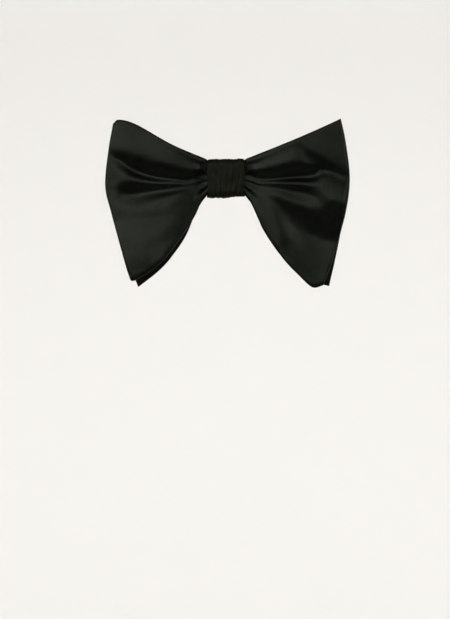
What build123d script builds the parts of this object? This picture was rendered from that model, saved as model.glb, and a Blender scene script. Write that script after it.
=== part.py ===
from build123d import *
import math
import os

# A pre-tied butterfly bow tie on an adjustable neckband, in millimetres.
# The origin is the centre of the neck loop at the knot's mid-height. +Z is up and the bow faces -Y.
# A place on the loop is a radius and a bearing: 0 degrees is the front, 90 the +X side, 180 the back.

# Driving dimensions: the neckband
neck_radius = 63.0
band_height = 16.0
band_thickness = 1.2
band_wall = 0.35
band_hem = 0.5
lining_gap = 0.05
centre_height = 15.0

# Bearings and spans along the band, in degrees
swing_bearing = 16.5
lift_bearing = 105.0
step_span = 9.0
slider_bearing = 125.0
closure_bearing = 168.0
turned_back = 7.0
solid_end = 1.5
solid_step = 1.0
solid_loop = 4.0

# The closure's metal parts
bar_radius = 0.7
bar_clearance = 0.08
rail_height = 8.9
catch_gap = 4.0
tongue_width = 7.0
tongue_thickness = 0.8
shoulder_width = 2.4
catch_out = 3.6
slider_length = 10.0
slider_rail = 1.2
slider_outer_bar = 1.6
slider_middle_bar = 1.8
slider_bend_foot = 1.26
tail_step_out = 1.8
slider_bar_step_out = 0.4
bar_thickness = 0.8
slide_gap = 0.1

# The knot and the waists inside it
knot_width = 20.0
knot_height = 19.5
knot_depth = 14.0
knot_back = 0.3
knot_front_round = 4.0
knot_back_round = 2.2
wrap_thickness = 0.9
wrap_lining = 0.45
waist_height = 15.0
front_waist_depth = 5.4
rear_waist_depth = 3.2
cinch_width = 5.2
cinch_depth = 0.8
thread_turns = 5
thread_thickness = 0.6

# The wings' plies
wing_wall = 0.8
wing_hem = 1.8
wing_lining_hem = 2.7
wing_lining = 0.8
flex_gap = 0.2

# Hand stitches
stitch_length = 1.8
stitch_size = 0.2
stitch_slant = 30.0
band_stitches = 6
band_stitch_pitch = 2.6
knot_stitch_count = 7
knot_stitch_pitch = 2.2
centre_stitch_count = 4
centre_stitch_pitch = 3.0

# Each wing's outline, as (x, z) from the knot's centre: top edge, outer edge, lower edge
front_left_outline = (
    [(-12.8, 7.4), (-28.6, 18.0), (-46.4, 28.0), (-55.6, 30.6), (-58.8, 28.5)],
    [(-58.8, 28.5), (-61.2, 15.0), (-62.9, -4.0), (-59.5, -18.7), (-52.5, -44.0), (-49.6, -53.0)],
    [(-49.6, -53.0), (-46.5, -52.5), (-35.0, -45.0), (-26.0, -34.5), (-17.0, -21.0), (-12.8, -7.4)],
)
rear_left_outline = (
    [(-11.8, 6.8), (-28.6, 16.6), (-46.4, 26.6), (-56.0, 28.6)],
    [(-56.0, 28.6), (-60.0, 14.0), (-61.8, -4.0), (-57.5, -21.0), (-51.0, -44.0), (-46.0, -56.9)],
    [(-46.0, -56.9), (-35.2, -48.4), (-28.0, -40.4), (-20.0, -28.0), (-11.8, -7.2)],
)
front_right_outline = (
    [(12.8, 7.4), (29.8, 18.0), (46.3, 25.0), (59.8, 31.2)],
    [(59.8, 31.2), (62.4, 19.0), (64.5, 0.0), (62.3, -18.0), (56.2, -41.1), (50.8, -55.6)],
    [(50.8, -55.6), (45.0, -56.6), (37.8, -50.3), (29.8, -41.8), (20.4, -28.5), (12.8, -7.4)],
)
rear_right_outline = (
    [(11.8, 6.8), (29.8, 16.6), (46.3, 23.6), (59.0, 28.6)],
    [(59.0, 28.6), (61.6, 18.0), (64.0, -2.0), (60.8, -24.0), (57.5, -41.1), (54.1, -56.4)],
    [(54.1, -56.4), (46.0, -54.0), (36.5, -47.0), (28.0, -38.0), (19.0, -26.0), (11.8, -7.2)],
)

# Each layer's profile from above, as (distance from the middle, distance in front of its back face)
front_swell = [(11.0, 5.0), (30.0, 9.6), (50.0, 7.2), (67.0, 2.4)]
rear_swell = [(10.0, 3.0), (32.0, 3.1), (67.0, 2.4)]

# Worked-out places, as distances from the loop's axis
band_middle = neck_radius + band_thickness / 2
band_outside = neck_radius + band_thickness
loop_bore = bar_radius + bar_clearance
loop_radius = loop_bore + band_thickness
loop_place = neck_radius + loop_radius
turned_outside = band_outside + band_thickness
tail_inside = neck_radius + tail_step_out
tail_outside = tail_inside + band_thickness
tail_middle = (tail_inside + tail_outside) / 2
bar_inside = neck_radius + slider_bar_step_out
knot_rear = -(neck_radius + knot_back)
pocket_rear = knot_rear - wrap_thickness - wrap_lining - lining_gap
centre_rear = pocket_rear - slide_gap
centre_middle = centre_rear - band_thickness / 2
rear_waist_rear = centre_rear - band_thickness - 3 * slide_gap
rear_waist_middle = rear_waist_rear - rear_waist_depth / 2
layer_split = rear_waist_rear - rear_waist_depth
front_waist_rear = layer_split - 2 * slide_gap
front_waist_middle = front_waist_rear - front_waist_depth / 2
flex_place = knot_width / 2
bundle_depth = rear_waist_rear - (front_waist_rear - front_waist_depth)
hinge_gap = math.degrees((band_thickness / 2 + flex_gap) / neck_radius)
ring_catch = (0.0, neck_radius + catch_out)
rail_z = rail_height + bar_radius / 2


def on_loop(radius, bearing):
    """The point at this radius and bearing."""
    turn = math.radians(bearing)
    return (radius * math.sin(turn), -radius * math.cos(turn))


hook_pivot = on_loop(loop_place, -closure_bearing)
ring_pivot = on_loop(loop_place, closure_bearing)


def arc_plate(inside, outside, start, end, height):
    """A plate bent round the loop's axis, between two radii and two bearings."""
    middle = (start + end) / 2
    outer = ThreePointArc(on_loop(outside, start), on_loop(outside, middle), on_loop(outside, end))
    inner = ThreePointArc(on_loop(inside, end), on_loop(inside, middle), on_loop(inside, start))
    face = make_face([outer, Line(outer @ 1, inner @ 0), inner, Line(inner @ 1, outer @ 0)])
    return extrude(face, amount=height / 2, both=True)


def arc_cavity(inside, start, end):
    """The space inside a stretch of band, between its two plies."""
    hem = math.degrees(band_hem / inside)
    inner = inside + band_wall
    outer = inside + band_thickness - band_wall
    return arc_plate(inner, outer, start + hem, end - hem, band_height - 2 * band_hem)


def arc_lining(inside, start, end):
    """The interlining that fills that space, with a small gap all round."""
    hem = math.degrees((band_hem + lining_gap) / inside)
    inner = inside + band_wall + lining_gap
    outer = inside + band_thickness - band_wall - lining_gap
    return arc_plate(inner, outer, start + hem, end - hem, band_height - 2 * band_hem - 2 * lining_gap)


def straight_strip(start, end, thickness, height):
    """A flat strip on edge between two points, with half-round ends."""
    length = math.dist(start, end)
    angle = math.degrees(math.atan2(end[1] - start[1], end[0] - start[0]))
    middle = ((start[0] + end[0]) / 2, (start[1] + end[1]) / 2)
    strip = Box(length, thickness, height)
    strip += Pos(-length / 2, 0, 0) * Cylinder(thickness / 2, height)
    strip += Pos(length / 2, 0, 0) * Cylinder(thickness / 2, height)
    return Pos(*middle, 0) * Rot(0, 0, angle) * strip


def at_bearing(bearing, solid):
    """Turn a solid that was made at the front, its back towards the axis, to a bearing."""
    return Rot(0, 0, bearing) * solid


def squared_ring(width, height, depth, wall, front_round, back_round):
    """A loop round the X axis with rounded corners. Its back is at y = 0 and it reaches to y = -depth."""
    outer = Rectangle(depth, height)
    front = outer.vertices().group_by(Axis.X)[0]
    outer = fillet(front, front_round)
    back = outer.vertices().group_by(Axis.X)[-1]
    outer = fillet(back, back_round)
    ring = outer - offset(outer, amount=-wall, kind=Kind.ARC)
    return Pos(0, -depth / 2, 0) * extrude(Plane.YZ * ring, amount=width / 2, both=True)


# ---- the bow: wings, waists, thread and knot ----

def wing_face(outline):
    """The wing's outline as a face standing in the XZ plane."""
    top, outer, lower = outline
    edges = [Spline(*top), Spline(*outer), Spline(*lower), Line(lower[-1], top[0])]
    return make_face(edges)


def inset_outline(outline, distance):
    """The same outline with every point moved this far towards the wing's middle."""
    points = [point for edge in outline for point in edge]
    middle_x = sum(x for x, z in points) / len(points)
    middle_z = sum(z for x, z in points) / len(points)
    edges = []
    for edge in outline:
        shares = [distance / math.dist(point, (middle_x, middle_z)) for point in edge]
        moved = [(x + (middle_x - x) * k, z + (middle_z - z) * k) for (x, z), k in zip(edge, shares)]
        edges.append(moved)
    return edges


def wing_block(outline):
    """Everything in front of the loop's middle that lies within a wing's outline."""
    return extrude(Plane.XZ * wing_face(outline), amount=2 * neck_radius)


def swell_block(swell, rear, side, back_inset, front_inset):
    """The space between a layer's flat back and its swelling front, seen from above."""
    front = [(side * across, rear - out + front_inset) for across, out in swell]
    first = (front[0][0], rear - back_inset)
    last = (front[-1][0], rear - back_inset)
    edges = [Spline(*front), Line(front[-1], last), Line(last, first), Line(first, front[0])]
    return extrude(make_face(edges), amount=neck_radius * 2, both=True)


def make_wing(outline, swell, rear, side):
    """A hollow satin wing and the interlining that lies inside it."""
    body = wing_block(outline) & swell_block(swell, rear, side, 0, 0)
    hollow = wing_block(inset_outline(outline, wing_hem))
    hollow &= swell_block(swell, rear, side, wing_wall, wing_wall)
    sheet = Pos(0, rear - wing_wall - lining_gap - wing_lining / 2, 0)
    lining = wing_block(inset_outline(outline, wing_lining_hem))
    lining &= sheet * Box(4 * neck_radius, wing_lining, 4 * neck_radius)
    return body - hollow, lining


def make_waist(depth, middle):
    """The gathered middle of one layer, round at both ends where the wings flex, pinched by the thread."""
    plan = Rectangle(2 * flex_place, depth)
    plan += Pos(-flex_place, 0) * Circle(depth / 2)
    plan += Pos(flex_place, 0) * Circle(depth / 2)
    waist = Pos(0, middle, 0) * extrude(plan, amount=waist_height / 2, both=True)
    bundle_middle = rear_waist_rear - bundle_depth / 2
    core = Box(cinch_width, bundle_depth - 2 * cinch_depth, waist_height - 2 * cinch_depth)
    groove = Pos(0, bundle_middle, 0) * (Box(cinch_width, 2 * bundle_depth, 2 * waist_height) - core)
    return waist - groove


def make_cinch_thread():
    """Turns of thread side by side round both waists."""
    depth = bundle_depth - 2 * cinch_depth + 2 * slide_gap
    height = waist_height - 2 * cinch_depth + 2 * slide_gap
    middle = rear_waist_rear - cinch_depth + slide_gap - depth / 2
    pitch = (cinch_width - 2 * slide_gap) / thread_turns
    turn = Box(pitch - slide_gap, depth + 2 * thread_thickness, height + 2 * thread_thickness)
    turn -= Box(pitch, depth, height)
    return [Pos(x, middle, 0) * turn for x in spaced(thread_turns, pitch)]


def make_knot():
    """The satin wrap and the interlining inside it."""
    rounds = (knot_front_round, knot_back_round)
    wrap = squared_ring(knot_width, knot_height, knot_depth, wrap_thickness, *rounds)
    inset = wrap_thickness + lining_gap
    lining = squared_ring(
        knot_width - 2 * inset,
        knot_height - 2 * inset,
        knot_depth - 2 * inset,
        wrap_lining,
        *(size - inset for size in rounds),
    )
    return Pos(0, knot_rear, 0) * wrap, Pos(0, knot_rear - inset, 0) * lining


def spaced(count, pitch):
    """Places this far apart, centred on 0."""
    return [(n - (count - 1) / 2) * pitch for n in range(count)]


def stitch_column(radius, bearing):
    """Stitches one above another, each lying along the band, with their inner sides at this radius."""
    stitch = Pos(0, -radius - stitch_size / 2, 0) * Box(stitch_length, stitch_size, stitch_size)
    places = spaced(band_stitches, band_stitch_pitch)
    return [at_bearing(bearing, Pos(0, 0, z) * stitch) for z in places]


def make_knot_stitches():
    """Slanted stitches along the wrap's closing edge, behind the knot and below its middle."""
    stitch = Rot(0, stitch_slant, 0) * Box(stitch_size, stitch_size, stitch_length)
    row = Pos(0, knot_rear + stitch_size / 2, -knot_height / 6)
    places = spaced(knot_stitch_count, knot_stitch_pitch)
    return [row * Pos(x, 0, 0) * stitch for x in places]


def make_centre_stitches():
    """Stitches that span the small gap between the band's middle and the rear waist."""
    start = centre_rear - band_thickness
    length = start - rear_waist_rear
    stitch = Box(stitch_length, length, stitch_size)
    places = spaced(centre_stitch_count, centre_stitch_pitch)
    return [Pos(0, start - length / 2, z) * stitch for z in places]


# ---- the neckband ----

def make_band_centre():
    """The flat middle of the band in the knot, and its two ends out to the swing hinges."""
    left = on_loop(band_middle, -swing_bearing)
    right = on_loop(band_middle, swing_bearing)
    near = (flex_place + 1.0, centre_middle)
    far = (-near[0], near[1])
    strip = straight_strip(far, near, band_thickness, centre_height)
    strip += straight_strip(near, right, band_thickness, centre_height)
    strip += straight_strip(far, left, band_thickness, centre_height)
    return strip


def spans(length):
    """The degrees of bearing that a length along the band takes up."""
    return math.degrees(length / neck_radius)


def upright(radius, place):
    """A round post as high as the band."""
    return Pos(*place, 0) * Cylinder(radius, band_height)


def make_band_left():
    """The hook side: a hollow strip, looped round the hook's bar and turned back on itself."""
    start = -closure_bearing
    end = -swing_bearing - hinge_gap
    cavity_start = start + turned_back
    strip = arc_plate(neck_radius, band_outside, start, end, band_height)
    strip -= arc_cavity(neck_radius, cavity_start, end)
    strip += arc_plate(band_outside, turned_outside, start, start + turned_back, band_height)
    strip += upright(loop_radius, hook_pivot)
    strip -= upright(loop_bore, hook_pivot)
    return strip, arc_lining(neck_radius, cavity_start, end)


def make_band_right():
    """The long side from the knot to the side of the neck, with the nose that the tail turns on."""
    start = swing_bearing + hinge_gap
    end = lift_bearing
    cavity_end = end - solid_end
    strip = arc_plate(neck_radius, band_outside, start, end, band_height)
    strip -= arc_cavity(neck_radius, start, cavity_end)
    strip += upright(band_thickness / 2, on_loop(band_middle, end))
    return strip, arc_lining(neck_radius, start, cavity_end)


def make_band_tail():
    """The rest of the long side, stepping out over the slider's bar and looping round the ring's bar."""
    foot = on_loop(band_middle, lift_bearing + hinge_gap + spans(band_thickness / 2))
    rise = on_loop(tail_middle, lift_bearing + step_span)
    start = lift_bearing + step_span
    end = closure_bearing
    cavity_start = start + solid_step
    cavity_end = end - solid_loop
    strip = straight_strip(foot, rise, band_thickness, band_height)
    strip += arc_plate(tail_inside, tail_outside, start, end, band_height)
    strip -= arc_cavity(tail_inside, cavity_start, cavity_end)
    strip += upright(loop_radius, ring_pivot)
    strip -= upright(loop_bore, ring_pivot)
    return strip, arc_lining(tail_inside, cavity_start, cavity_end)


def make_band_return():
    """The end of the long side: from the ring back under the tail, and sewn round the slider's bar."""
    start = slider_bearing + spans(slider_middle_bar)
    end = closure_bearing - spans(loop_radius + flex_gap)
    strip = arc_plate(neck_radius, band_outside, start, end, band_height)
    bar_middle = bar_inside + bar_thickness / 2
    sleeve_depth = tail_inside - neck_radius - 2 * slide_gap
    sleeve_length = slider_middle_bar + 2 * band_thickness
    sleeve = Pos(0, -(neck_radius + tail_inside) / 2, 0) * Box(sleeve_length, sleeve_depth, band_height)
    slot_size = (slider_middle_bar + 2 * slide_gap, bar_thickness + slide_gap)
    slot = Pos(0, -bar_middle, 0) * Box(*slot_size, band_height)
    strip += at_bearing(slider_bearing, sleeve)
    strip -= at_bearing(slider_bearing, slot)
    return strip


# ---- the metal parts ----

def wire_bar(place):
    """An upright bar from the lower rail to the upper one."""
    return Pos(*place, 0) * Cylinder(bar_radius, 2 * rail_z)


def wire_rail(start, end, z):
    """A straight wire between two points at one height, with round ends."""
    length = math.dist(start, end)
    angle = math.degrees(math.atan2(end[1] - start[1], end[0] - start[0]))
    middle = ((start[0] + end[0]) / 2, (start[1] + end[1]) / 2)
    rail = Rot(0, 90, 0) * Cylinder(bar_radius, length)
    rail += Pos(-length / 2, 0, 0) * Sphere(bar_radius)
    rail += Pos(length / 2, 0, 0) * Sphere(bar_radius)
    return Pos(*middle, z) * Rot(0, 0, angle) * rail



def make_ring():
    """A rectangle of wire: one bar in the band's loop, the other caught by the hook."""
    ring = wire_bar(ring_pivot) + wire_bar(ring_catch)
    for z in (-rail_z, rail_z):
        ring += wire_rail(ring_pivot, ring_catch, z)
    return ring


def make_hook():
    """A bar in the band's loop, a frame round it, and a tongue whose end turns up through the ring."""
    tongue_out = ring_catch[1] - bar_radius - 2 * slide_gap
    tongue_middle = tongue_out - tongue_thickness / 2
    finger_in = ring_catch[0] + bar_radius + catch_gap
    plate_start = hook_pivot[0] + loop_radius + shoulder_width
    shoulder = (plate_start, tongue_middle)
    hook = wire_bar(hook_pivot)
    for z in (-rail_z, rail_z):
        hook += wire_rail(hook_pivot, shoulder, z)
    hook += Pos(*shoulder, 0) * Box(shoulder_width, tongue_thickness, 2 * rail_z)
    tongue_end = finger_in + tongue_thickness
    tongue_length = tongue_end - plate_start
    tongue = Box(tongue_length, tongue_thickness, tongue_width)
    hook += Pos(plate_start + tongue_length / 2, tongue_middle, 0) * tongue
    finger_top = ring_catch[1] + bar_radius + slide_gap
    finger_height = finger_top - (tongue_out - tongue_thickness)
    finger = Box(tongue_thickness, finger_height, tongue_width)
    hook += Pos(finger_in + tongue_thickness / 2, finger_top - finger_height / 2, 0) * finger
    return hook


def make_slider():
    """Two outer bars over the band, a sunk middle bar under it, and bent rails that join them."""
    half = slider_length / 2
    outer_in = tail_outside + slide_gap
    outer_out = outer_in + bar_thickness
    middle_out = bar_inside + bar_thickness
    bend_top = half - slider_outer_bar
    side = [
        (slider_bend_foot, bar_inside),
        (bend_top, outer_in),
        (half, outer_in),
        (half, outer_out),
        (bend_top - bar_thickness, outer_out),
        (slider_bend_foot - bar_thickness / 2, middle_out),
    ]
    outline = side + [(-along, out) for along, out in reversed(side)]
    bent_strip = make_face(Polyline(*[(along, -out) for along, out in outline], close=True))
    rail = extrude(bent_strip, amount=slider_rail / 2, both=True)
    outer_bar = Box(slider_outer_bar, bar_thickness, 2 * rail_height)
    outer_place = half - slider_outer_bar / 2
    outer_middle = -(outer_in + outer_out) / 2
    middle_bar = Box(slider_middle_bar, bar_thickness, 2 * rail_height)
    slider = Pos(0, -(bar_inside + middle_out) / 2, 0) * middle_bar
    for way in (-1, 1):
        slider += Pos(0, 0, way * rail_height) * rail
        slider += Pos(way * outer_place, outer_middle, 0) * outer_bar
    return at_bearing(slider_bearing, slider)


# ---- write every piece ----

pieces = {}
layers = (
    ("front", front_swell, front_waist_rear, front_left_outline, front_right_outline),
    ("rear", rear_swell, rear_waist_rear, rear_left_outline, rear_right_outline),
)
for layer, swell, rear, left_outline, right_outline in layers:
    for side_name, side, outline in (("left", -1, left_outline), ("right", 1, right_outline)):
        name = f"{layer}_wing_{side_name}"
        shell, lining = make_wing(outline, swell, rear, side)
        pieces[name] = [shell]
        pieces[name + "_interlining"] = [lining]

wrap, wrap_inside = make_knot()
band_left, band_left_lining = make_band_left()
band_right, band_right_lining = make_band_right()
band_tail, band_tail_lining = make_band_tail()
hook_stitch_bearing = turned_back - closure_bearing - spans(stitch_length)
slider_stitch_bearing = slider_bearing + spans(slider_length / 2)
pieces["front_waist"] = [make_waist(front_waist_depth, front_waist_middle)]
pieces["rear_waist"] = [make_waist(rear_waist_depth, rear_waist_middle)]
pieces["cinch_thread"] = make_cinch_thread()
pieces["knot_wrap"] = [wrap]
pieces["knot_lining"] = [wrap_inside]
pieces["band_centre"] = [make_band_centre()]
pieces["band_left"] = [band_left]
pieces["band_left_interlining"] = [band_left_lining]
pieces["band_right"] = [band_right]
pieces["band_right_interlining"] = [band_right_lining]
pieces["band_tail"] = [band_tail]
pieces["band_tail_interlining"] = [band_tail_lining]
pieces["band_return"] = [make_band_return()]
pieces["ring"] = [make_ring()]
pieces["hook"] = [make_hook()]
pieces["slider"] = [make_slider()]
pieces["knot_stitches"] = make_knot_stitches()
pieces["centre_stitches"] = make_centre_stitches()
pieces["hook_stitches"] = stitch_column(turned_outside, hook_stitch_bearing)
pieces["slider_stitches"] = stitch_column(band_outside, slider_stitch_bearing)

os.makedirs("parts", exist_ok=True)
for name, solids in pieces.items():
    whole = solids[0] if len(solids) == 1 else Compound(children=solids)
    export_step(whole, f"parts/{name}.step")
    print(name, len(whole.solids()), round(whole.volume, 1))
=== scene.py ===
import math

import bmesh
import bpy
import numpy as np
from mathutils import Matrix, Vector, noise


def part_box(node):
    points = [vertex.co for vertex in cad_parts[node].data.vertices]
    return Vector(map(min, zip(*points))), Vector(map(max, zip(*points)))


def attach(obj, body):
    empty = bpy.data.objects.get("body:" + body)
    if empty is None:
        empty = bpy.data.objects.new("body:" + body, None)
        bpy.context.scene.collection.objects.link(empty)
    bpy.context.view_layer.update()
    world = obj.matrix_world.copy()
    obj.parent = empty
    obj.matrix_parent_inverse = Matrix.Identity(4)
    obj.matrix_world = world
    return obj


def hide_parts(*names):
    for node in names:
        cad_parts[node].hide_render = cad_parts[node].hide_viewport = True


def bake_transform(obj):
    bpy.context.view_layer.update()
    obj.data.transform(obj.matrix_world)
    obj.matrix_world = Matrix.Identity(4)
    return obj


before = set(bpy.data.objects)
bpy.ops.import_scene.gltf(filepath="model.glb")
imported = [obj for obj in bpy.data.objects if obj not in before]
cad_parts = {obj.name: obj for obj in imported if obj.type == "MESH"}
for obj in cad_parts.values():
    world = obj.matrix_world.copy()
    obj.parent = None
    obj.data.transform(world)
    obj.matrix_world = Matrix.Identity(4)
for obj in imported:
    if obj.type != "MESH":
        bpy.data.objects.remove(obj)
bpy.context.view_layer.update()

MM = 0.001
scene = bpy.context.scene
scene.view_settings.view_transform = "Standard"


def linked(name, data):
    """A new object of this data, in the scene."""
    obj = bpy.data.objects.new(name, data)
    scene.collection.objects.link(obj)
    return obj


# ---------------------------------------------------------------- camera
# It looks almost straight at the bow, with the knot well above the middle of the frame.

KNOT_FACE_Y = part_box("knot_wrap")[0].y
CAMERA_DISTANCE = 1.5
CAMERA_SIDE = -0.0005
CAMERA_PITCH = math.radians(2.6)
FRAME_HEIGHT = 0.3219
SENSOR_WIDTH = 36

cam_data = bpy.data.cameras.new("camera")
cam = linked("camera", cam_data)
scene.camera = cam
cam_data.sensor_width = SENSOR_WIDTH
cam_data.lens = SENSOR_WIDTH / FRAME_HEIGHT * CAMERA_DISTANCE
cam.location = (CAMERA_SIDE, KNOT_FACE_Y - CAMERA_DISTANCE, 0)
cam.rotation_euler = (math.pi / 2 - CAMERA_PITCH, 0, 0)
cam_data.clip_start, cam_data.clip_end = 0.05, 30

# ---------------------------------------------------------------- materials


class Look:
    """A node material as it is built. A setting is a plain value, or another node's output."""

    def __init__(self, name):
        self.material = bpy.data.materials.new(name)
        self.material.use_nodes = True
        tree = self.material.node_tree
        self.nodes, self.links = tree.nodes, tree.links
        self.shader = tree.nodes["Principled BSDF"]

    def put(self, node, settings):
        """Set a node's inputs, by their names."""
        for name, value in settings.items():
            if isinstance(value, bpy.types.NodeSocket):
                self.links.new(value, node.inputs[name])
            else:
                node.inputs[name].default_value = value

    def node(self, kind, settings, **modes):
        """A new node with these inputs and modes."""
        made = self.nodes.new(kind)
        for name, value in modes.items():
            setattr(made, name, value)
        self.put(made, settings)
        return made

    def clouds(self, where, scale, detail):
        """Noise texture."""
        settings = {"Vector": where, "Scale": scale, "Detail": detail}
        return self.node("ShaderNodeTexNoise", settings).outputs["Fac"]

    def scaled(self, where, scale):
        """Coordinates multiplied by a scale on each axis."""
        return self.node("ShaderNodeMapping", {"Vector": where, "Scale": scale}).outputs["Vector"]

    def mixed(self, first, second, share):
        """Two values mixed, with this share of the second."""
        settings = {"Factor": share, "A": first, "B": second}
        return self.node("ShaderNodeMix", settings, data_type="FLOAT").outputs["Result"]

    def spread(self, value, start, end, low, high):
        """The stretch of values from start to end, spread from low to high."""
        settings = {"Value": value, "From Min": start, "From Max": end, "To Min": low, "To Max": high}
        return self.node("ShaderNodeMapRange", settings).outputs["Result"]

    def ramp(self, value, low, high, ends=(0, 1)):
        """A colour that runs from low to high while the value runs between the ends."""
        made = self.node("ShaderNodeValToRGB", {"Fac": value})
        for k, colour in enumerate((low, high)):
            made.color_ramp.elements[k].position = ends[k]
            made.color_ramp.elements[k].color = (*colour, 1)
        return made.outputs["Color"]

    def bump(self, height, strength, distance, over=None):
        """A bump, on top of another bump's normal if one is given."""
        settings = {"Height": height, "Strength": strength, "Distance": distance}
        if over is not None:
            settings["Normal"] = over
        return self.node("ShaderNodeBump", settings).outputs["Normal"]


# shares of the tint where the dye is thin and where it is thick
DYE_DARK = (0.7, 0.7, 0.7)
DYE_PALE = (1.35, 1.3, 1.2)


def tinted(tint, shares):
    """The tint with each channel multiplied by its share."""
    return tuple(t * s for t, s in zip(tint, shares))


def satin(name, tint, rough, gloss_level, weave_bump, rib_scale):
    """Woven silk satin: long floats seen as fine upright ribs, a soft directional gloss that is
    uneven from thread to thread, uneven dye, and lint that shows as faint rougher specks."""
    look = Look(name)
    coord = look.node("ShaderNodeTexCoord", {})
    uv, spot = coord.outputs["UV"], coord.outputs["Object"]
    ribs = look.node(
        "ShaderNodeTexWave",
        {"Vector": uv, "Scale": rib_scale, "Distortion": 1.2, "Detail": 2},
        wave_type="BANDS",
        bands_direction="X",
    )
    floats = look.clouds(look.scaled(uv, (rib_scale * 1.3, rib_scale * 0.14, 1)), 1, 3)
    dye = look.clouds(spot, 60, 5)
    lint = look.clouds(spot, 900, 2)
    slub = look.clouds(look.scaled(uv, (1100, 380, 1)), 1, 2)
    shine = look.mixed(slub, dye, 0.45)
    weave = look.bump(look.mixed(ribs.outputs["Fac"], floats, 0.5), weave_bump, 0.00006)
    tangent = look.node("ShaderNodeTangent", {}, direction_type="UV_MAP")
    look.put(look.shader, {
        "Base Color": look.ramp(dye, tinted(tint, DYE_DARK), tinted(tint, DYE_PALE), (0.3, 0.75)),
        "Roughness": look.spread(lint, 0.3, 0.7, rough - 0.05, rough + 0.06),
        "Specular IOR Level": look.spread(shine, 0.35, 0.65, gloss_level * 0.8, gloss_level * 1.2),
        "Normal": look.bump(dye, 0.35, 0.0006, weave),
        "Tangent": tangent.outputs["Tangent"],
        "Anisotropic": 0.55,
        "Specular Tint": (0.87, 1.0, 0.78, 1),
        "Sheen Weight": 0.01,
        "Sheen Roughness": 0.4,
        "Sheen Tint": (0.8, 0.85, 0.78, 1),
    })
    return look.material


def thread_material():
    """Mercerised sewing thread with its twist."""
    look = Look("sewing_thread")
    coord = look.node("ShaderNodeTexCoord", {})
    settings = {"Vector": coord.outputs["Object"], "Scale": 1400}
    twist = look.node("ShaderNodeTexWave", settings, bands_direction="DIAGONAL").outputs["Fac"]
    look.put(look.shader, {
        "Base Color": look.ramp(twist, (0.006, 0.006, 0.006), (0.022, 0.022, 0.021)),
        "Roughness": 0.55,
        "Normal": look.bump(twist, 0.6, 0.0001),
    })
    return look.material


def nickel_material():
    """Bright nickel plate with fine handling scratches and dull spots."""
    look = Look("nickel_plate")
    spot = look.node("ShaderNodeTexCoord", {}).outputs["Object"]
    scratch = look.clouds(look.scaled(spot, (300, 300, 5200)), 1, 4)
    dull = look.clouds(spot, 420, 4)
    look.put(look.shader, {
        "Base Color": look.ramp(dull, (0.28, 0.27, 0.24), (0.52, 0.50, 0.46)),
        "Roughness": look.spread(dull, 0.35, 0.7, 0.14, 0.38),
        "Normal": look.bump(scratch, 0.12, 0.00003),
        "Metallic": 1,
    })
    return look.material


def floor_material():
    """Plain pale matt card."""
    look = Look("studio_floor")
    look.put(look.shader, {"Base Color": (0.74, 0.73, 0.71, 1), "Roughness": 0.9})
    return look.material


wing_satin = satin("wing_satin", (0.0004, 0.0005, 0.0004), 0.39, 0.050, 0.35, 420)
knot_satin = satin("knot_satin", (0.0016, 0.0015, 0.0010), 0.50, 0.023, 0.5, 420)
band_satin = satin("band_satin", (0.0007, 0.0008, 0.0006), 0.40, 0.085, 0.4, 420)
sewing_thread = thread_material()
nickel_plate = nickel_material()

# ---------------------------------------------------------------- stage

WALL_RADIUS, WALL_HEIGHT, WALL_BEND = 2.6, 3.4, 1.0
FLOOR_LEVEL = -0.8
BEND_STEPS, BOWL_TURNS = 20, 96


def bowl_mesh(name, material):
    """A round floor that curves up into a wall on every side, so each view has a plain backdrop."""
    flat = WALL_RADIUS - WALL_BEND
    line = [(flat, 0)]
    for k in range(1, BEND_STEPS + 1):
        t = math.pi / 2 * k / BEND_STEPS
        line.append((flat + WALL_BEND * math.sin(t), WALL_BEND * (1 - math.cos(t))))
    line.append((WALL_RADIUS, WALL_HEIGHT))
    turns = [2 * math.pi * k / BOWL_TURNS for k in range(BOWL_TURNS)]
    bm = bmesh.new()
    middle = bm.verts.new((0, 0, FLOOR_LEVEL))
    rows = []
    for r, z in line:
        rows.append([bm.verts.new((r * math.cos(a), r * math.sin(a), FLOOR_LEVEL + z)) for a in turns])
    for k in range(BOWL_TURNS):
        after = (k + 1) % BOWL_TURNS
        bm.faces.new((middle, rows[0][k], rows[0][after]))
        for low, high in zip(rows, rows[1:]):
            bm.faces.new((low[k], high[k], high[after], low[after]))
    for face in bm.faces:
        face.smooth = True
    mesh = bpy.data.meshes.new(name)
    bm.to_mesh(mesh)
    bm.free()
    mesh.materials.append(material)
    return linked(name, mesh)


bowl_mesh("floor", floor_material())

world = bpy.data.worlds.new("studio")
scene.world = world
world.use_nodes = True
background = world.node_tree.nodes["Background"]
background.inputs["Color"].default_value = (1, 0.99, 0.97, 1)
background.inputs["Strength"].default_value = 0.05


def soft_light(name, size, at, aim, watts, spread):
    """A rectangular area light that points at a place, with its beam's spread in degrees."""
    data = bpy.data.lights.new(name, "AREA")
    data.shape = "RECTANGLE"
    data.size, data.size_y = size
    data.energy = watts
    data.spread = math.radians(spread)
    obj = linked(name, data)
    obj.location = at
    obj.rotation_euler = (Vector(aim) - Vector(at)).to_track_quat("-Z", "Y").to_euler()
    obj.visible_camera = False


BOW = (0, -0.07, 0)
soft_light("key_front", (1.5, 1.0), (-0.25, -1.2, 0.34), BOW, 15.0, 120)
soft_light("top_soft", (1.6, 0.7), (-0.1, -0.85, 1.05), BOW, 7.0, 130)
soft_light("fill_left", (0.4, 0.8), (-1.5, -1.0, 0.30), BOW, 3.6, 60)
soft_light("fill_right", (0.4, 0.8), (1.5, -1.0, 0.30), BOW, 2.8, 60)
soft_light("back_soft", (1.8, 1.2), (0.3, 1.5, 0.05), (0, 0, 0), 4.5, 140)

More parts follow.
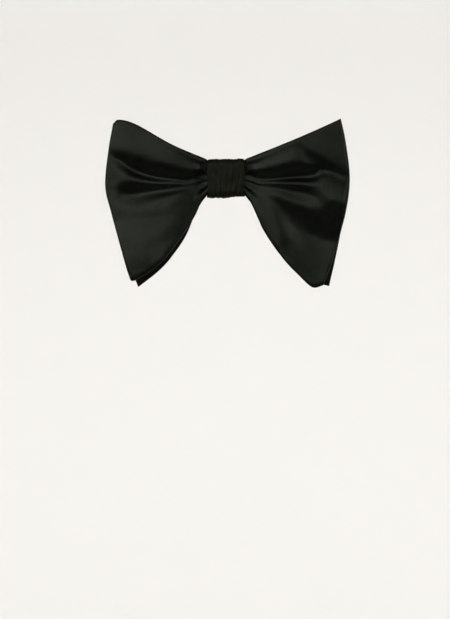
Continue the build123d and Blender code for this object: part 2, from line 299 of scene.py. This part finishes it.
# lights round the bowl wash its wall, most strongly behind the bow as the camera sees it
WASH_SIZE, WASH_SPREAD = (2.0, 0.6), 100
WASH_RADIUS, WASH_HEIGHT, WASH_AIM_HEIGHT = 1.6, 2.5, 0.4
WASH_WATTS = (19, 7, 6, 6, 6, 7)
for k, watts in enumerate(WASH_WATTS):
    turn = math.radians(90 + 360 // len(WASH_WATTS) * k)
    x, y = math.cos(turn), math.sin(turn)
    at = (WASH_RADIUS * x, WASH_RADIUS * y, WASH_HEIGHT)
    aim = (WALL_RADIUS * x, WALL_RADIUS * y, WASH_AIM_HEIGHT)
    soft_light(f"wash_{k}", WASH_SIZE, at, aim, watts, WASH_SPREAD)

# ---------------------------------------------------------------- lines and meshes
# From here on, shapes are in millimetres until their points become vertices.

CURVE_STEPS = 40


def clamp(value):
    """The value, kept from 0 to 1."""
    return max(0.0, min(1.0, value))


def rising(value, start, length):
    """0 up to start, 1 from start + length on, and a straight rise between them."""
    return np.clip((value - start) / length, 0, 1)


def length_along(line):
    """The distance along a line at each of its points."""
    return np.concatenate([[0], np.cumsum(np.linalg.norm(np.diff(line, axis=0), axis=1))])


def spaced(line, count, closed=False):
    """Points at even distances along a line. A closed line ends where it starts, and that end is
    left out."""
    run = length_along(line)
    at = np.linspace(0, run[-1], count, endpoint=not closed)
    return np.column_stack([np.interp(at, run, line[:, k]) for k in range(line.shape[1])])


def smooth_line(points, count):
    """A Catmull-Rom curve through the points, sampled evenly along its length."""
    p = np.array(points, float)
    p = np.vstack([2 * p[0] - p[1], p, 2 * p[-1] - p[-2]])
    t = np.linspace(0, 1, CURVE_STEPS, endpoint=False)[:, None]
    fine = []
    for a, b, c, d in zip(p, p[1:], p[2:], p[3:]):
        square = (2 * a - 5 * b + 4 * c - d) * t**2
        cube = (3 * b - a - 3 * c + d) * t**3
        fine.append(0.5 * (2 * b + (c - a) * t + square + cube))
    return spaced(np.vstack(fine + [p[-2:-1]]), count)


def square_to(step):
    """Unit directions square to each step, on its right."""
    out = np.column_stack([step[:, 1], -step[:, 0]])
    return out / np.linalg.norm(out, axis=1)[:, None]


def ring_object(name, rings, closed, uv_at, material):
    """An object whose skin joins each ring of points to the next. uv_at gives the UV for a ring's
    number and a point's place in it. The skin ends in flat caps unless the rings are closed."""
    bm = bmesh.new()
    layer = bm.loops.layers.uv.new("UVMap")
    made = [[bm.verts.new((x * MM, y * MM, z * MM)) for x, y, z in ring] for ring in rings]
    around = len(made[0])
    for k in range(len(made) if closed else len(made) - 1):
        ring, after = made[k], made[(k + 1) % len(made)]
        for a in range(around):
            b = (a + 1) % around
            face = bm.faces.new((ring[a], ring[b], after[b], after[a]))
            face.smooth = True
            corners = ((k, a), (k, a + 1), (k + 1, a + 1), (k + 1, a))
            for loop, corner in zip(face.loops, corners):
                loop[layer].uv = uv_at(*corner)
    if not closed:
        bm.faces.new(made[0])
        bm.faces.new(made[-1])
    bmesh.ops.recalc_face_normals(bm, faces=bm.faces)
    mesh = bpy.data.meshes.new(name)
    bm.to_mesh(mesh)
    bm.free()
    mesh.materials.append(material)
    return linked(name, mesh)


# ---------------------------------------------------------------- the wings


def patch(root, top, outer, lower, nu, nv):
    """Points of a Coons patch, from the root at u 0 to the outer edge at u 1, and top to lower edge."""
    r, t = smooth_line(root, nv), smooth_line(top, nu)
    o, b = smooth_line(outer, nv), smooth_line(lower, nu)
    u = np.linspace(0, 1, nu)[:, None, None]
    v = np.linspace(0, 1, nv)[None, :, None]
    sides = (1 - v) * t[:, None] + v * b[:, None] + (1 - u) * r[None] + u * o[None]
    corners = (1 - u) * (1 - v) * t[0] + u * (1 - v) * t[-1] + (1 - u) * v * b[0] + u * v * b[-1]
    return sides - corners


# a crease is rounded over this many millimetres, and the cloth flattens away from it at this power
CREASE_ROUND = 1.0
FOLD_POWER = 1.5
# a fold fades past its ends over this many millimetres
FOLD_FADE = 3.0
FOLD_STEPS = 90


def fold_field(xz, folds):
    """How far towards the viewer each point stands. Each fold follows a line of (x, z, height,
    reach above, reach below): a height below 0 is a valley, whose upper side faces down."""
    out = np.zeros(xz.shape[:-1])
    for line in folds:
        s = smooth_line(line, FOLD_STEPS)
        d = xz[..., None, :] - s[:, :2]
        near = np.argmin((d**2).sum(-1), axis=-1)
        normal = -square_to(np.gradient(s[:, :2], axis=0))
        normal *= np.where(normal[:, 1:] < 0, -1, 1)
        off = xz - s[near, :2]
        across = (off * normal[near]).sum(-1)
        along = np.sqrt(np.maximum((off**2).sum(-1) - across**2, 0))
        width = np.where(across > 0, s[near, 3], s[near, 4])
        away = (np.sqrt(across**2 + CREASE_ROUND**2) - CREASE_ROUND) / width
        out += s[near, 2] * np.exp(-(away**FOLD_POWER) - (along / FOLD_FADE) ** 2)
    return out


def relaxed(field, times):
    """The field with each value moved towards the mean of its neighbours."""
    for _ in range(times):
        f = np.pad(field, 1, mode="edge")
        field = (4 * field + f[2:, 1:-1] + f[:-2, 1:-1] + f[1:-1, 2:] + f[1:-1, :-2]) / 8
    return field


# wrinkles reach their full depth this many times sooner than the wing's end
WRINKLE_RISE = 3
WRINKLE_SCALE, WRINKLE_DEPTH = 0.055, 0.25
WRINKLE_ROUGHNESS, WRINKLE_GAIN, WRINKLE_OCTAVES = 0.9, 2.0, 3


def wrinkle(points, seed):
    """Small smooth unevenness of hand-folded cloth."""
    got = []
    for x, z in points.reshape(-1, 2):
        at = Vector((x * WRINKLE_SCALE, z * WRINKLE_SCALE, seed))
        got.append(noise.fractal(at, WRINKLE_ROUGHNESS, WRINKLE_GAIN, WRINKLE_OCTAVES))
    return WRINKLE_DEPTH * np.array(got).reshape(points.shape[:-1])


def make_cloth(name, front, back, material, uv_size):
    """A closed mesh from a front and a back grid of points, in metres, that share their rims."""
    nu, nv = front.shape[:2]
    verts = [tuple(p) for p in front.reshape(-1, 3)]
    index = np.arange(nu * nv).reshape(nu, nv)
    other = index.copy()
    for i in range(1, nu - 1):
        for j in range(1, nv - 1):
            other[i, j] = len(verts)
            verts.append(tuple(back[i, j]))
    faces, uvs = [], []
    us, vs = np.linspace(0, uv_size[0], nu), np.linspace(0, uv_size[1], nv)
    for i in range(nu - 1):
        for j in range(nv - 1):
            ring = [(i, j), (i + 1, j), (i + 1, j + 1), (i, j + 1)]
            for grid, corners in ((index, ring), (other, ring[::-1])):
                faces.append([grid[a, b] for a, b in corners])
                uvs.append([(us[a], vs[b]) for a, b in corners])
    mesh = bpy.data.meshes.new(name)
    mesh.from_pydata(verts, [], faces)
    layer = mesh.uv_layers.new(name="UVMap")
    for poly, ring in zip(mesh.polygons, uvs):
        poly.use_smooth = True
        for loop, pair in zip(poly.loop_indices, ring):
            layer.data[loop].uv = pair
    bm = bmesh.new()
    bm.from_mesh(mesh)
    bmesh.ops.recalc_face_normals(bm, faces=bm.faces)
    bm.to_mesh(mesh)
    bm.free()
    mesh.materials.append(material)
    return linked(name, mesh)


WING_ALONG, WING_ACROSS = 110, 150
FOLD_RELAX = 8
# distances from the bow's middle: the lobes lean and droop past LOBE_START, and the hem past HEM_FROM
LOBE_START, LOBE_LENGTH = 12, 20
HEM_FROM, HEM_LENGTH = 20, 10
# the upper lobes lean back by this much for each millimetre above TOP_START
TOP_LEAN, TOP_START = 0.08, 8
# the lower lobes droop from this far below the knot's middle, over this length
DROOP_START, DROOP_LENGTH = 6, 48
# gathers run out of the knot: how many, how deep, where they begin to fade and over what length
GATHERS, GATHER_DEPTH, GATHER_PHASE = 4.5, 0.4, 0.6
GATHER_START, GATHER_LENGTH = 8, 14
# they also fade out in the last part, one in GATHER_EDGES, next to the top and lower edges
GATHER_EDGES = 6
# the turned hem inside the top edge shows as a low step
HEM_WIDTH, HEM_RISE, HEM_STEP = 3.0, 0.14, 1.2
# a root tucked in the knot keeps this share of its folds, so that it stays in the waist
ROOT_SHARE, ROOT_START, ROOT_LENGTH = 0.25, 7.5, 7
# the back ply follows the front one's relief by this share
BACK_SHARE = 0.92
# the plies' edge is rounded over EDGE_ROUND, with the blade taken as about this tall at its end, this
# share of that at its root, and this long
EDGE_ROUND, RIM_HEIGHT, RIM_ROOT, RIM_LENGTH = 1.3, 34, 0.3, 50
WING_UV = (0.062, 0.09)
DEPTH_STEPS = 200


def wing_relief(xz, u, v, folds, droop, seed):
    """How far towards the viewer each point of a wing stands from its middle plane."""
    reach, height = np.abs(xz[..., 0]), xz[..., 1]
    lobe = rising(reach, LOBE_START, LOBE_LENGTH)
    toward = relaxed(fold_field(xz, folds), FOLD_RELAX) + wrinkle(xz, seed) * np.clip(u * WRINKLE_RISE, 0, 1)
    toward += droop * rising(-height, DROOP_START, DROOP_LENGTH) * lobe
    toward -= TOP_LEAN * np.maximum(height - TOP_START, 0) * lobe
    gather = 1 - rising(reach, GATHER_START, GATHER_LENGTH)
    waves = np.sin(v * 2 * math.pi * GATHERS + GATHER_PHASE)
    toward += gather * GATHER_DEPTH * waves * np.clip(np.minimum(v, 1 - v) * GATHER_EDGES, 0, 1)
    from_top = v * np.linalg.norm(xz[:, -1] - xz[:, 0], axis=1)[:, None]
    toward += HEM_RISE * rising(-from_top, -HEM_WIDTH, HEM_STEP) * rising(reach, HEM_FROM, HEM_LENGTH)
    return toward * (ROOT_SHARE + (1 - ROOT_SHARE) * rising(reach, ROOT_START, ROOT_LENGTH))


def rim_round(u, v):
    """The share of the full thickness at each point of a wing: 0 on the rim, 1 a little inside it."""
    tall = np.minimum(v, 1 - v) * RIM_HEIGHT * (RIM_ROOT + (1 - RIM_ROOT) * u)
    rim = np.minimum(tall, (1 - u) * RIM_LENGTH)
    return np.sqrt(np.clip(1 - (1 - np.clip(rim / EDGE_ROUND, 0, 1)) ** 2, 0, 1))


def make_wing(name, shape, folds, depth, thick, droop, seed):
    """One wing. depth gives the middle plane's y at distances from the bow's middle, and droop is
    how far forward the lower lobe hangs."""
    xz = patch(*shape, WING_ALONG, WING_ACROSS)
    u = np.linspace(0, 1, WING_ALONG)[:, None] * np.ones((1, WING_ACROSS))
    v = np.ones((WING_ALONG, 1)) * np.linspace(0, 1, WING_ACROSS)[None]
    curve = smooth_line(depth, DEPTH_STEPS)
    middle = np.interp(np.abs(xz[..., 0]), curve[:, 0], curve[:, 1])
    toward = wing_relief(xz, u, v, folds, droop, seed)
    puff = rim_round(u, v)
    half = thick / 2 * puff
    y_front, y_back = middle - toward - half, middle - toward * BACK_SHARE + half
    front = np.stack([xz[..., 0], y_front, xz[..., 1]], -1) * MM
    back = np.stack([xz[..., 0], y_back, xz[..., 1]], -1) * MM
    edge = puff == 0
    back[edge] = front[edge]
    obj = make_cloth(name, front, back, wing_satin, WING_UV)
    return obj


# the middle planes' y at distances from the bow's middle
FRONT_MID, REAR_MID = -72.4, -67.9
FRONT_DEPTH = [(0, FRONT_MID), (10, FRONT_MID), (18, -75.6), (30, -78.2), (50, -76.6), (67, -73.0)]
REAR_DEPTH = [(0, REAR_MID), (10, REAR_MID), (30, -68.2), (67, -67.6)]
FRONT_THICK, REAR_THICK = 1.9, 1.6

# each fold is a line of (x, z, height towards the viewer, reach above, reach below)
front_left_folds = [
    # the soft fold along the top edge
    [
        (-14, 6.5, -0.2, 1.6, 1.2), (-26, 12.5, -0.5, 2.4, 2.0), (-36, 18.5, -0.5, 2.8, 2.4),
        (-44, 23.5, -0.2, 2.4, 2),
    ],
    # the upper valley, which runs up and out from the knot
    [
        (-10, 0.6, -1.2, 1.6, 0.9), (-20.8, -0.4, -2.3, 2.6, 1.1), (-27.6, 0.0, -3.1, 3.2, 1.3),
        (-37.4, 1.0, -4.0, 4.3, 1.5), (-47, 3.8, -4.0, 4.6, 1.8), (-53.6, 8.0, -2.6, 3.5, 1.8),
        (-59.5, 11.4, -0.9, 1.9, 1.5),
    ],
    # the lower valley, which falls gently outwards
    [
        (-12, -2.4, -1.1, 1.2, 1.3), (-20, -4.0, -2.3, 2.2, 2.0), (-28, -5.4, -3.4, 3.2, 2.4),
        (-37.4, -6.8, -3.9, 4.0, 3.0), (-46, -8.2, -3.4, 4.3, 3.6), (-53, -9.0, -1.8, 3.6, 3.4),
    ],
    # a short gather below the knot
    [(-12, -5.5, -0.4, 1.8, 1.6), (-17, -8.5, -0.7, 2.4, 2.2), (-24, -13.5, -0.3, 2.6, 2.6)],
    # a broad, faint hollow across the lower lobe
    [(-27.6, -18.5, -0.5, 3.2, 5.0), (-40.6, -21.2, -1.1, 3.6, 6.5), (-54.6, -20.6, -0.7, 3.4, 6.0)],
    # a small hollow near the lower edge
    [(-28, -30, -0.3, 3, 3), (-37, -35, -0.6, 4, 3.5), (-42, -36, -0.2, 3, 3)],
    # the raised run down to the lower tip
    [(-34, -30, 0.4, 6, 6), (-46, -40, 1.0, 8, 8), (-49, -50, 0.5, 6, 6)],
    # a faint crease under the lower valley
    [(-26, -11, -0.3, 2, 3), (-38, -13.5, -0.6, 3, 4.5), (-50, -14, -0.5, 3, 4.5)],
]
front_right_folds = [
    # the soft fold along the top edge
    [(14, 6.5, -0.2, 1.6, 1.2), (27, 12, -0.4, 2.4, 2.0), (36, 15.5, -0.3, 2.4, 2)],
    # the upper valley, level from the knot
    [
        (10, 0.6, -1.2, 1.6, 0.9), (19.2, 0.0, -2.3, 2.4, 1.0), (27, 0.3, -3.3, 3.1, 1.2),
        (38.5, 0.9, -4.2, 4.3, 1.5), (45.2, 1.3, -3.6, 4.0, 1.7), (50, 3.0, -1.4, 2.4, 1.6),
    ],
    # the crease that crosses the upper part and falls to the outer edge
    [
        (39.5, 14.2, -0.6, 1.6, 1.8), (45.2, 9.2, -1.5, 2.5, 2.2), (50.5, 5.2, -2.0, 3.0, 2.4),
        (56.7, 2.2, -1.7, 2.8, 2.4), (61.8, -0.2, -0.8, 2.2, 2.0),
    ],
    # the lower valley
    [
        (12, -2.2, -1.0, 1.1, 1.2), (25.5, -4.8, -2.7, 2.9, 2.4), (38.5, -8.0, -3.2, 4.0, 4.2),
        (47, -11.4, -2.4, 4.2, 5.4), (55, -15, -1.4, 4.2, 5.4),
    ],
    # the ridge above the hollow
    [(24, -6.5, 0.4, 3, 3), (38, -11.5, 1.4, 4, 6), (50, -13, 2.9, 7, 9), (61, -12, 3.0, 7, 9)],
    # the broad hollow that crosses the lower lobe
    [
        (16, -5, -0.5, 1.8, 1.8), (22.9, -9.5, -1.8, 3.6, 3.4), (35.9, -22, -4.4, 9.0, 7.0),
        (43, -29, -5.0, 11.5, 10.0), (52, -32, -4.4, 11.5, 11.0), (62, -31, -2.6, 9.5, 9.0),
    ],
    # a short gather below the knot
    [(12, -6, -0.4, 1.8, 1.6), (16, -10.5, -0.7, 2.4, 2.0), (20, -16, -0.3, 2.4, 2.4)],
    # the low hollow above the lower edge
    [
        (30, -37, -0.3, 3.0, 2.4), (39, -44.5, -0.8, 3.6, 3.0), (47, -48, -0.9, 4.0, 3.0),
        (56, -47.5, -0.5, 4.0, 3.0),
    ],
]
rear_folds_left = [
    [(-14, 2, -0.4, 3, 3), (-38, 8, -0.7, 5, 5), (-54, 10, -0.4, 6, 6)],
    [(-22, -18, 0.3, 5, 5), (-40, -36, 0.6, 7, 7), (-46, -48, 0.4, 6, 6)],
]
rear_folds_right = [
    [(14, 2, -0.4, 3, 3), (38, 8, -0.7, 5, 5), (56, 10, -0.4, 6, 6)],
    [(22, -18, 0.3, 5, 5), (42, -36, 0.6, 7, 7), (50, -48, 0.4, 6, 6)],
]

# each outline is its root, top edge, outer edge and lower edge, as (x, z) from the knot's middle
front_left_shape = (
    [(-5.5, 6.4), (-5.8, 0), (-5.5, -6.4)],
    [
        (-5.5, 6.4), (-9.4, 7.6), (-9.6, 8.6), (-9.7, 9.5), (-10.6, 10.3), (-14.2, 11.8),
        (-28.6, 18), (-46.4, 28), (-55.6, 30.6), (-58.8, 28.5),
    ],
    [(-58.8, 28.5), (-61.2, 15), (-62.9, -4), (-59.5, -18.7), (-52.5, -44), (-49.6, -53)],
    [
        (-5.5, -6.4), (-9.2, -7.6), (-10.3, -9.4), (-11.6, -11), (-13.6, -14), (-17, -21),
        (-26, -34.5), (-35, -45), (-46.5, -52.5), (-49.6, -53),
    ],
)
rear_left_shape = (
    [(-5.5, 6.0), (-5.8, 0), (-5.5, -6.2)],
    [(-5.5, 6.0), (-11.8, 6.8), (-28.6, 16.6), (-46.4, 26.6), (-56, 28.6)],
    [(-56, 28.6), (-60, 14), (-61.8, -4), (-57.5, -21), (-51, -44), (-46, -56.9)],
    [(-5.5, -6.2), (-11.8, -7.2), (-20, -28), (-28, -40.4), (-35.2, -48.4), (-46, -56.9)],
)
front_right_shape = (
    [(5.5, 6.4), (5.8, 0), (5.5, -6.4)],
    [
        (5.5, 6.4), (9.4, 7.6), (9.6, 8.6), (9.7, 9.5), (10.6, 10.3), (14.2, 11.8), (29.8, 18),
        (46.3, 25), (59.8, 31.2),
    ],
    [(59.8, 31.2), (62.4, 19), (64.5, 0), (62.3, -18), (56.2, -41.1), (50.8, -55.6)],
    [
        (5.5, -6.4), (9.2, -7.6), (10.3, -9.4), (11.6, -11), (13.6, -14), (20.4, -28.5),
        (29.8, -41.8), (37.8, -50.3), (45, -56.6), (50.8, -55.6),
    ],
)
rear_right_shape = (
    [(5.5, 6.0), (5.8, 0), (5.5, -6.2)],
    [(5.5, 6.0), (11.8, 6.8), (29.8, 16.6), (46.3, 23.6), (59, 28.6)],
    [(59, 28.6), (61.6, 18), (64, -2), (60.8, -24), (57.5, -41.1), (54.1, -56.4)],
    [(5.5, -6.2), (11.8, -7.2), (19, -26), (28, -38), (36.5, -47), (46, -54), (54.1, -56.4)],
)

# A butterfly blade is cut wide at its end and narrow at the waist, and is gathered at the knot.
REAR_DROOP = -1.6

for side, sign, f_shape, f_folds, droop, r_shape, r_folds in (
    ("left", -1, front_left_shape, front_left_folds, 3.0, rear_left_shape, rear_folds_left),
    ("right", 1, front_right_shape, front_right_folds, -0.6, rear_right_shape, rear_folds_right),
):
    front = make_wing(f"satin_front_{side}", f_shape, f_folds, FRONT_DEPTH, FRONT_THICK, droop, 3.1 + sign)
    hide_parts(f"front_wing_{side}", f"front_wing_{side}_interlining", "front_waist")
    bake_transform(front)
    rear = make_wing(f"satin_rear_{side}", r_shape, r_folds, REAR_DEPTH, REAR_THICK, REAR_DROOP, 7.7 + sign)
    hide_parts(f"rear_wing_{side}", f"rear_wing_{side}_interlining", "rear_waist")
    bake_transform(rear)

# ---------------------------------------------------------------- the knot

KNOT_FRONT, KNOT_BACK, KNOT_TOP, KNOT_HALF = -77.3, -63.3, 9.75, 10
CORNER_FRONT, CORNER_BACK, CORNER_STEPS = 3.0, 2.2, 8
# the wrap's wall keeps this share at its turned edges, and its outer face stands a little proud
KNOT_WALL, EDGE_WALL, KNOT_PROUD = 1.3, 0.15, 0.1
# the front of the wrap begins at this y and is full over this length; its underside likewise in z
FRONT_FROM, FRONT_LENGTH = 70.5, 5
UNDER_FROM, UNDER_LENGTH = 6, 4
# the front is drawn in at mid-height and wavers a little, is crowned, and falls away at its edges
WAIST_DRAW, WAIST_CURVE = 0.35, 1.2
WAVER, WAVER_RATE = 0.25, 0.45
CROWN, EDGE_DROP = 0.55, 0.54
KNOT_AROUND, KNOT_ACROSS = 168, 110
KNOT_UV = (0.042, 0.062)
# points stand closer together near the wrap's edges, which this share of a quarter turn sets
EDGE_CROWD = math.pi / 2 * 0.96

# the wrap's upright pleats: place across the knot, half width and depth
KNOT_PLEATS = (
    (-7.6, 0.6, 0.28), (-5.9, 0.5, 0.40), (-4.4, 0.45, 0.30), (-2.7, 0.6, 0.50), (-1.0, 0.45, 0.34),
    (0.8, 0.55, 0.48), (2.3, 0.45, 0.32), (3.9, 0.6, 0.46), (5.6, 0.5, 0.34), (7.3, 0.6, 0.40),
)
# high up the pleats keep this share of their depth; from PLEAT_FROM down they deepen and draw together
PLEAT_FROM, PLEAT_LENGTH = 3.5, 10
PLEAT_SHALLOW, PLEAT_DRAW, UNDER_PLEATS = 0.35, 0.10, 0.5
PLEAT_SWAY, SWAY_RATE, SWAY_SHIFT = 0.35, 0.28, 1.7
UNEVEN, UNEVEN_SCALE = 0.25, (0.35, 0.3, 0.25)
# the raised corner: its place across, half width, height, and the share of the top where it begins
LUMP_X, LUMP_HALF, LUMP_HEIGHT, LUMP_FROM = 7.8, 2.4, 1.8, 0.7
# the lower edge hangs this far, ripples, and steps up over STEP_RUN at STEP_X
SAG, RIPPLE, RIPPLE_RATE = 0.2, 0.12, 1.9
STEP_RISE, STEP_X, STEP_RUN = 0.8, 2.5, 1.2


def knot_section():
    """Points (y, z) evenly along the loop, from the middle of the back, up, over and down the front,
    and the outward direction at each."""
    line = [(KNOT_BACK, 0), (KNOT_BACK, KNOT_TOP - CORNER_BACK)]
    for y, z, r, first in (
        (KNOT_BACK - CORNER_BACK, KNOT_TOP - CORNER_BACK, CORNER_BACK, 0),
        (KNOT_FRONT + CORNER_FRONT, KNOT_TOP - CORNER_FRONT, CORNER_FRONT, 90),
        (KNOT_FRONT + CORNER_FRONT, CORNER_FRONT - KNOT_TOP, CORNER_FRONT, 180),
        (KNOT_BACK - CORNER_BACK, CORNER_BACK - KNOT_TOP, CORNER_BACK, 270),
    ):
        for k in range(CORNER_STEPS + 1):
            a = math.radians(first + 90 * k / CORNER_STEPS)
            line.append((y + r * math.cos(a), z + r * math.sin(a)))
    line.append((KNOT_BACK, 0))
    yz = spaced(np.array(line), KNOT_AROUND, closed=True)
    out = square_to(np.roll(yz, -1, axis=0) - np.roll(yz, 1, axis=0))
    for _ in range(3):
        out = (np.roll(out, 1, axis=0) + 2 * out + np.roll(out, -1, axis=0)) / 4
    return yz, out


def knot_pleating(x, y, z):
    """The pleats, deeper and closer together low down, some unevenness, and the raised corner at
    the top right."""
    low = clamp((PLEAT_FROM - z) / PLEAT_LENGTH)
    share = PLEAT_SHALLOW + (1 - PLEAT_SHALLOW) * low
    relief = 0.0
    for place, width, depth in KNOT_PLEATS:
        sway = PLEAT_SWAY * math.sin(z * SWAY_RATE + place * SWAY_SHIFT)
        middle = place * (1 - PLEAT_DRAW * low) + sway
        relief -= depth * math.exp(-(((x - middle) / width) ** 2)) * share
    relief += UNEVEN * noise.noise(Vector([a * b for a, b in zip((x, y, z), UNEVEN_SCALE)]))
    lump = max(0.0, 1 - ((x - LUMP_X) / LUMP_HALF) ** 2) * max(0.0, z / KNOT_TOP - LUMP_FROM)
    return relief + LUMP_HEIGHT * lump


def knot_sag(x):
    """The lower edge's ripple, and its step up to the right."""
    ripple = RIPPLE * math.sin(x * RIPPLE_RATE + 2.0)
    return ripple + SAG - STEP_RISE / (1 + math.exp(-(x - STEP_X) / STEP_RUN))


def make_knot():
    """The wrap round both waists: a loop of satin with fine upright pleats, turned edges, and an
    uneven lower edge."""
    rings = []
    for (y, z), (out_y, out_z) in zip(*knot_section()):
        in_front = clamp((-y - FRONT_FROM) / FRONT_LENGTH)
        under = clamp((-z - UNDER_FROM) / UNDER_LENGTH)
        drawn_in = WAIST_DRAW * in_front * math.cos(z / KNOT_TOP * WAIST_CURVE)
        half = KNOT_HALF - drawn_in + WAVER * math.sin(z * WAVER_RATE + 1)
        outer, inner = [], []
        for j in range(KNOT_ACROSS):
            t = -1 + 2 * j / (KNOT_ACROSS - 1)
            x = half * math.sin(t * EDGE_CROWD) / math.sin(EDGE_CROWD)
            crown = CROWN * (1 - t * t) * in_front
            relief = knot_pleating(x, y, z) * max(in_front, UNDER_PLEATS * under)
            depth = relief + crown + under * knot_sag(x) - EDGE_DROP * abs(t) ** 9
            wall = KNOT_WALL * (1 - (1 - EDGE_WALL) * abs(t) ** 10)
            for shell, d in ((outer, depth + KNOT_PROUD), (inner, depth - wall)):
                shell.append((x, y + out_y * d, z + out_z * d))
        rings.append(outer + inner[::-1])

    def uv_at(k, a):
        return a / (2 * KNOT_ACROSS) * KNOT_UV[0], k / KNOT_AROUND * KNOT_UV[1]

    obj = ring_object("satin_knot", rings, True, uv_at, knot_satin)
    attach(obj, "bow")
    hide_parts("knot_wrap", "knot_lining")


make_knot()

# ---------------------------------------------------------------- the neckband
# Bearings are in degrees round the neck, from 0 at the knot, with the right side above 0.

BAND_MID, TAIL_MID, LOOP_MID, TURNED_MID = 63.6, 65.4, 64.98, 64.8
BAND_THICK, BAND_HALF, BAND_WIDTH = 1.2, 8.0, 0.016
BAND_STEP, SECTION_ROWS, HEM_ROUND = 0.9, 28, 0.7
STITCH_DEPTH, STITCH_INSET, STITCH_WIDTH = 0.10, 1.6, 0.35
WAVE_DEPTH, SWAY_TURN, LIFT_TURN = 0.06, 0.21, 0.33
BAND_UV_AROUND = 0.034
BAR_BEARING, BAR_RADIUS, BAR_STEPS = 168, 1.38, 8
# the right half of the band's run inside the knot
KNOT_RUN = [(0, -65.4), (8, -65.2)]


def on(bearing, radius):
    """The place (x, y) at a bearing and a radius."""
    a = math.radians(bearing)
    return np.array([radius * math.sin(a), -radius * math.cos(a)])


def arc(first, last, radius, step=4):
    """Points round the neck from one bearing to another, about step degrees apart."""
    count = max(2, int(abs(last - first) / step))
    return [tuple(on(first + (last - first) * k / count, radius)) for k in range(count + 1)]


def bar_loop(side, first, last):
    """Points round the bar on that side, turned in degrees from straight outwards."""
    centre = on(side * BAR_BEARING, LOOP_MID)
    base = math.radians(side * BAR_BEARING)
    outward = np.array([math.sin(base), -math.cos(base)])
    around = np.array([math.cos(base), math.sin(base)]) * side
    points = []
    for k in range(BAR_STEPS + 1):
        a = math.radians(first + (last - first) * k / BAR_STEPS)
        points.append(tuple(centre + BAR_RADIUS * (math.cos(a) * outward + math.sin(a) * around)))
    return points


def band_section():
    """The band's section as (offset from its middle, z), up one face and down the other, with
    rounded turned edges."""
    face = []
    for j in range(SECTION_ROWS + 1):
        z = -BAND_HALF + 2 * BAND_HALF * j / SECTION_ROWS
        near = BAND_HALF - abs(z)
        face.append((BAND_THICK / 2 * math.sqrt(max(0.0, 1 - (1 - min(near / HEM_ROUND, 1)) ** 2)), z))
    return face + [(-h, z) for h, z in face[-2:0:-1]]


def make_strip(name, path, seed):
    """A flat band along a path in plan, with a shallow line of edge stitching and slight waves.
    It returns the band and its length in metres."""
    p = smooth_line(path, max(30, int(length_along(np.array(path))[-1] / BAND_STEP)))
    run = length_along(p)
    section = band_section()
    rings = []
    for (x, y), (out_x, out_y), at in zip(p, square_to(np.gradient(p, axis=0)), run):
        sway = WAVE_DEPTH * math.sin(at * SWAY_TURN + seed)
        lift = WAVE_DEPTH * math.sin(at * LIFT_TURN + seed * 2)
        ring = []
        for h, z in section:
            from_stitch = BAND_HALF - abs(z) - STITCH_INSET
            seam = -STITCH_DEPTH * math.exp(-((from_stitch / STITCH_WIDTH) ** 2)) * np.sign(h)
            d = h + seam + sway * (z / BAND_HALF)
            ring.append((x + out_x * d, y + out_y * d, z + lift * (abs(z) / BAND_HALF)))
        rings.append(ring)

    def uv_at(k, a):
        return run[k] * MM, a / len(section) * BAND_UV_AROUND

    obj = ring_object(name, rings, False, uv_at, band_satin)
    return obj, run[-1] * MM


# the hook side: from inside the knot, round the neck, over the hook's bar and back on itself outside
left_path = [(-x, y) for x, y in KNOT_RUN]
left_path += arc(-16.5, -160, BAND_MID) + arc(-163, -165.5, BAND_MID, 2)
left_path += bar_loop(-1, 180, 0) + arc(-165, -161.3, TURNED_MID, 2)
left, left_length = make_strip("satin_band_left", left_path, 1.0)
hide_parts("band_left", "band_left_interlining", "band_centre")
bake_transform(left)

# the long side from the knot to the side of the neck
right_path = KNOT_RUN + arc(16.5, 62, BAND_MID)
right, right_length = make_strip("satin_band_right", right_path, 2.3)
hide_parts("band_right", "band_right_interlining", "band_centre")
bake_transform(right)

# the rest of the long side, through the slider and round the ring's bar
tail_path = arc(60, 105, BAND_MID) + arc(114, 165.5, TAIL_MID)
tail_path += bar_loop(1, 0, 180) + arc(165, 163, BAND_MID, 1)
tail, tail_length = make_strip("satin_band_tail", tail_path, 0.4)
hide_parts("band_tail", "band_tail_interlining")
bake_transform(tail)

# the end that comes back from the ring and is sewn round the slider's middle bar
back, back_length = make_strip("satin_band_return", arc(164.5, 129, BAND_MID), 3.2)
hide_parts("band_return")
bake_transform(back)

# ---------------------------------------------------------------- hardware and thread

HARDWARE = ("hook", "ring", "slider")
SEWING = ("cinch_thread", "knot_stitches", "centre_stitches", "hook_stitches", "slider_stitches")

for nodes, material in ((HARDWARE, nickel_plate), (SEWING, sewing_thread)):
    for node in nodes:
        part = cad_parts[node]
        part.data.materials.clear()
        part.data.materials.append(material)
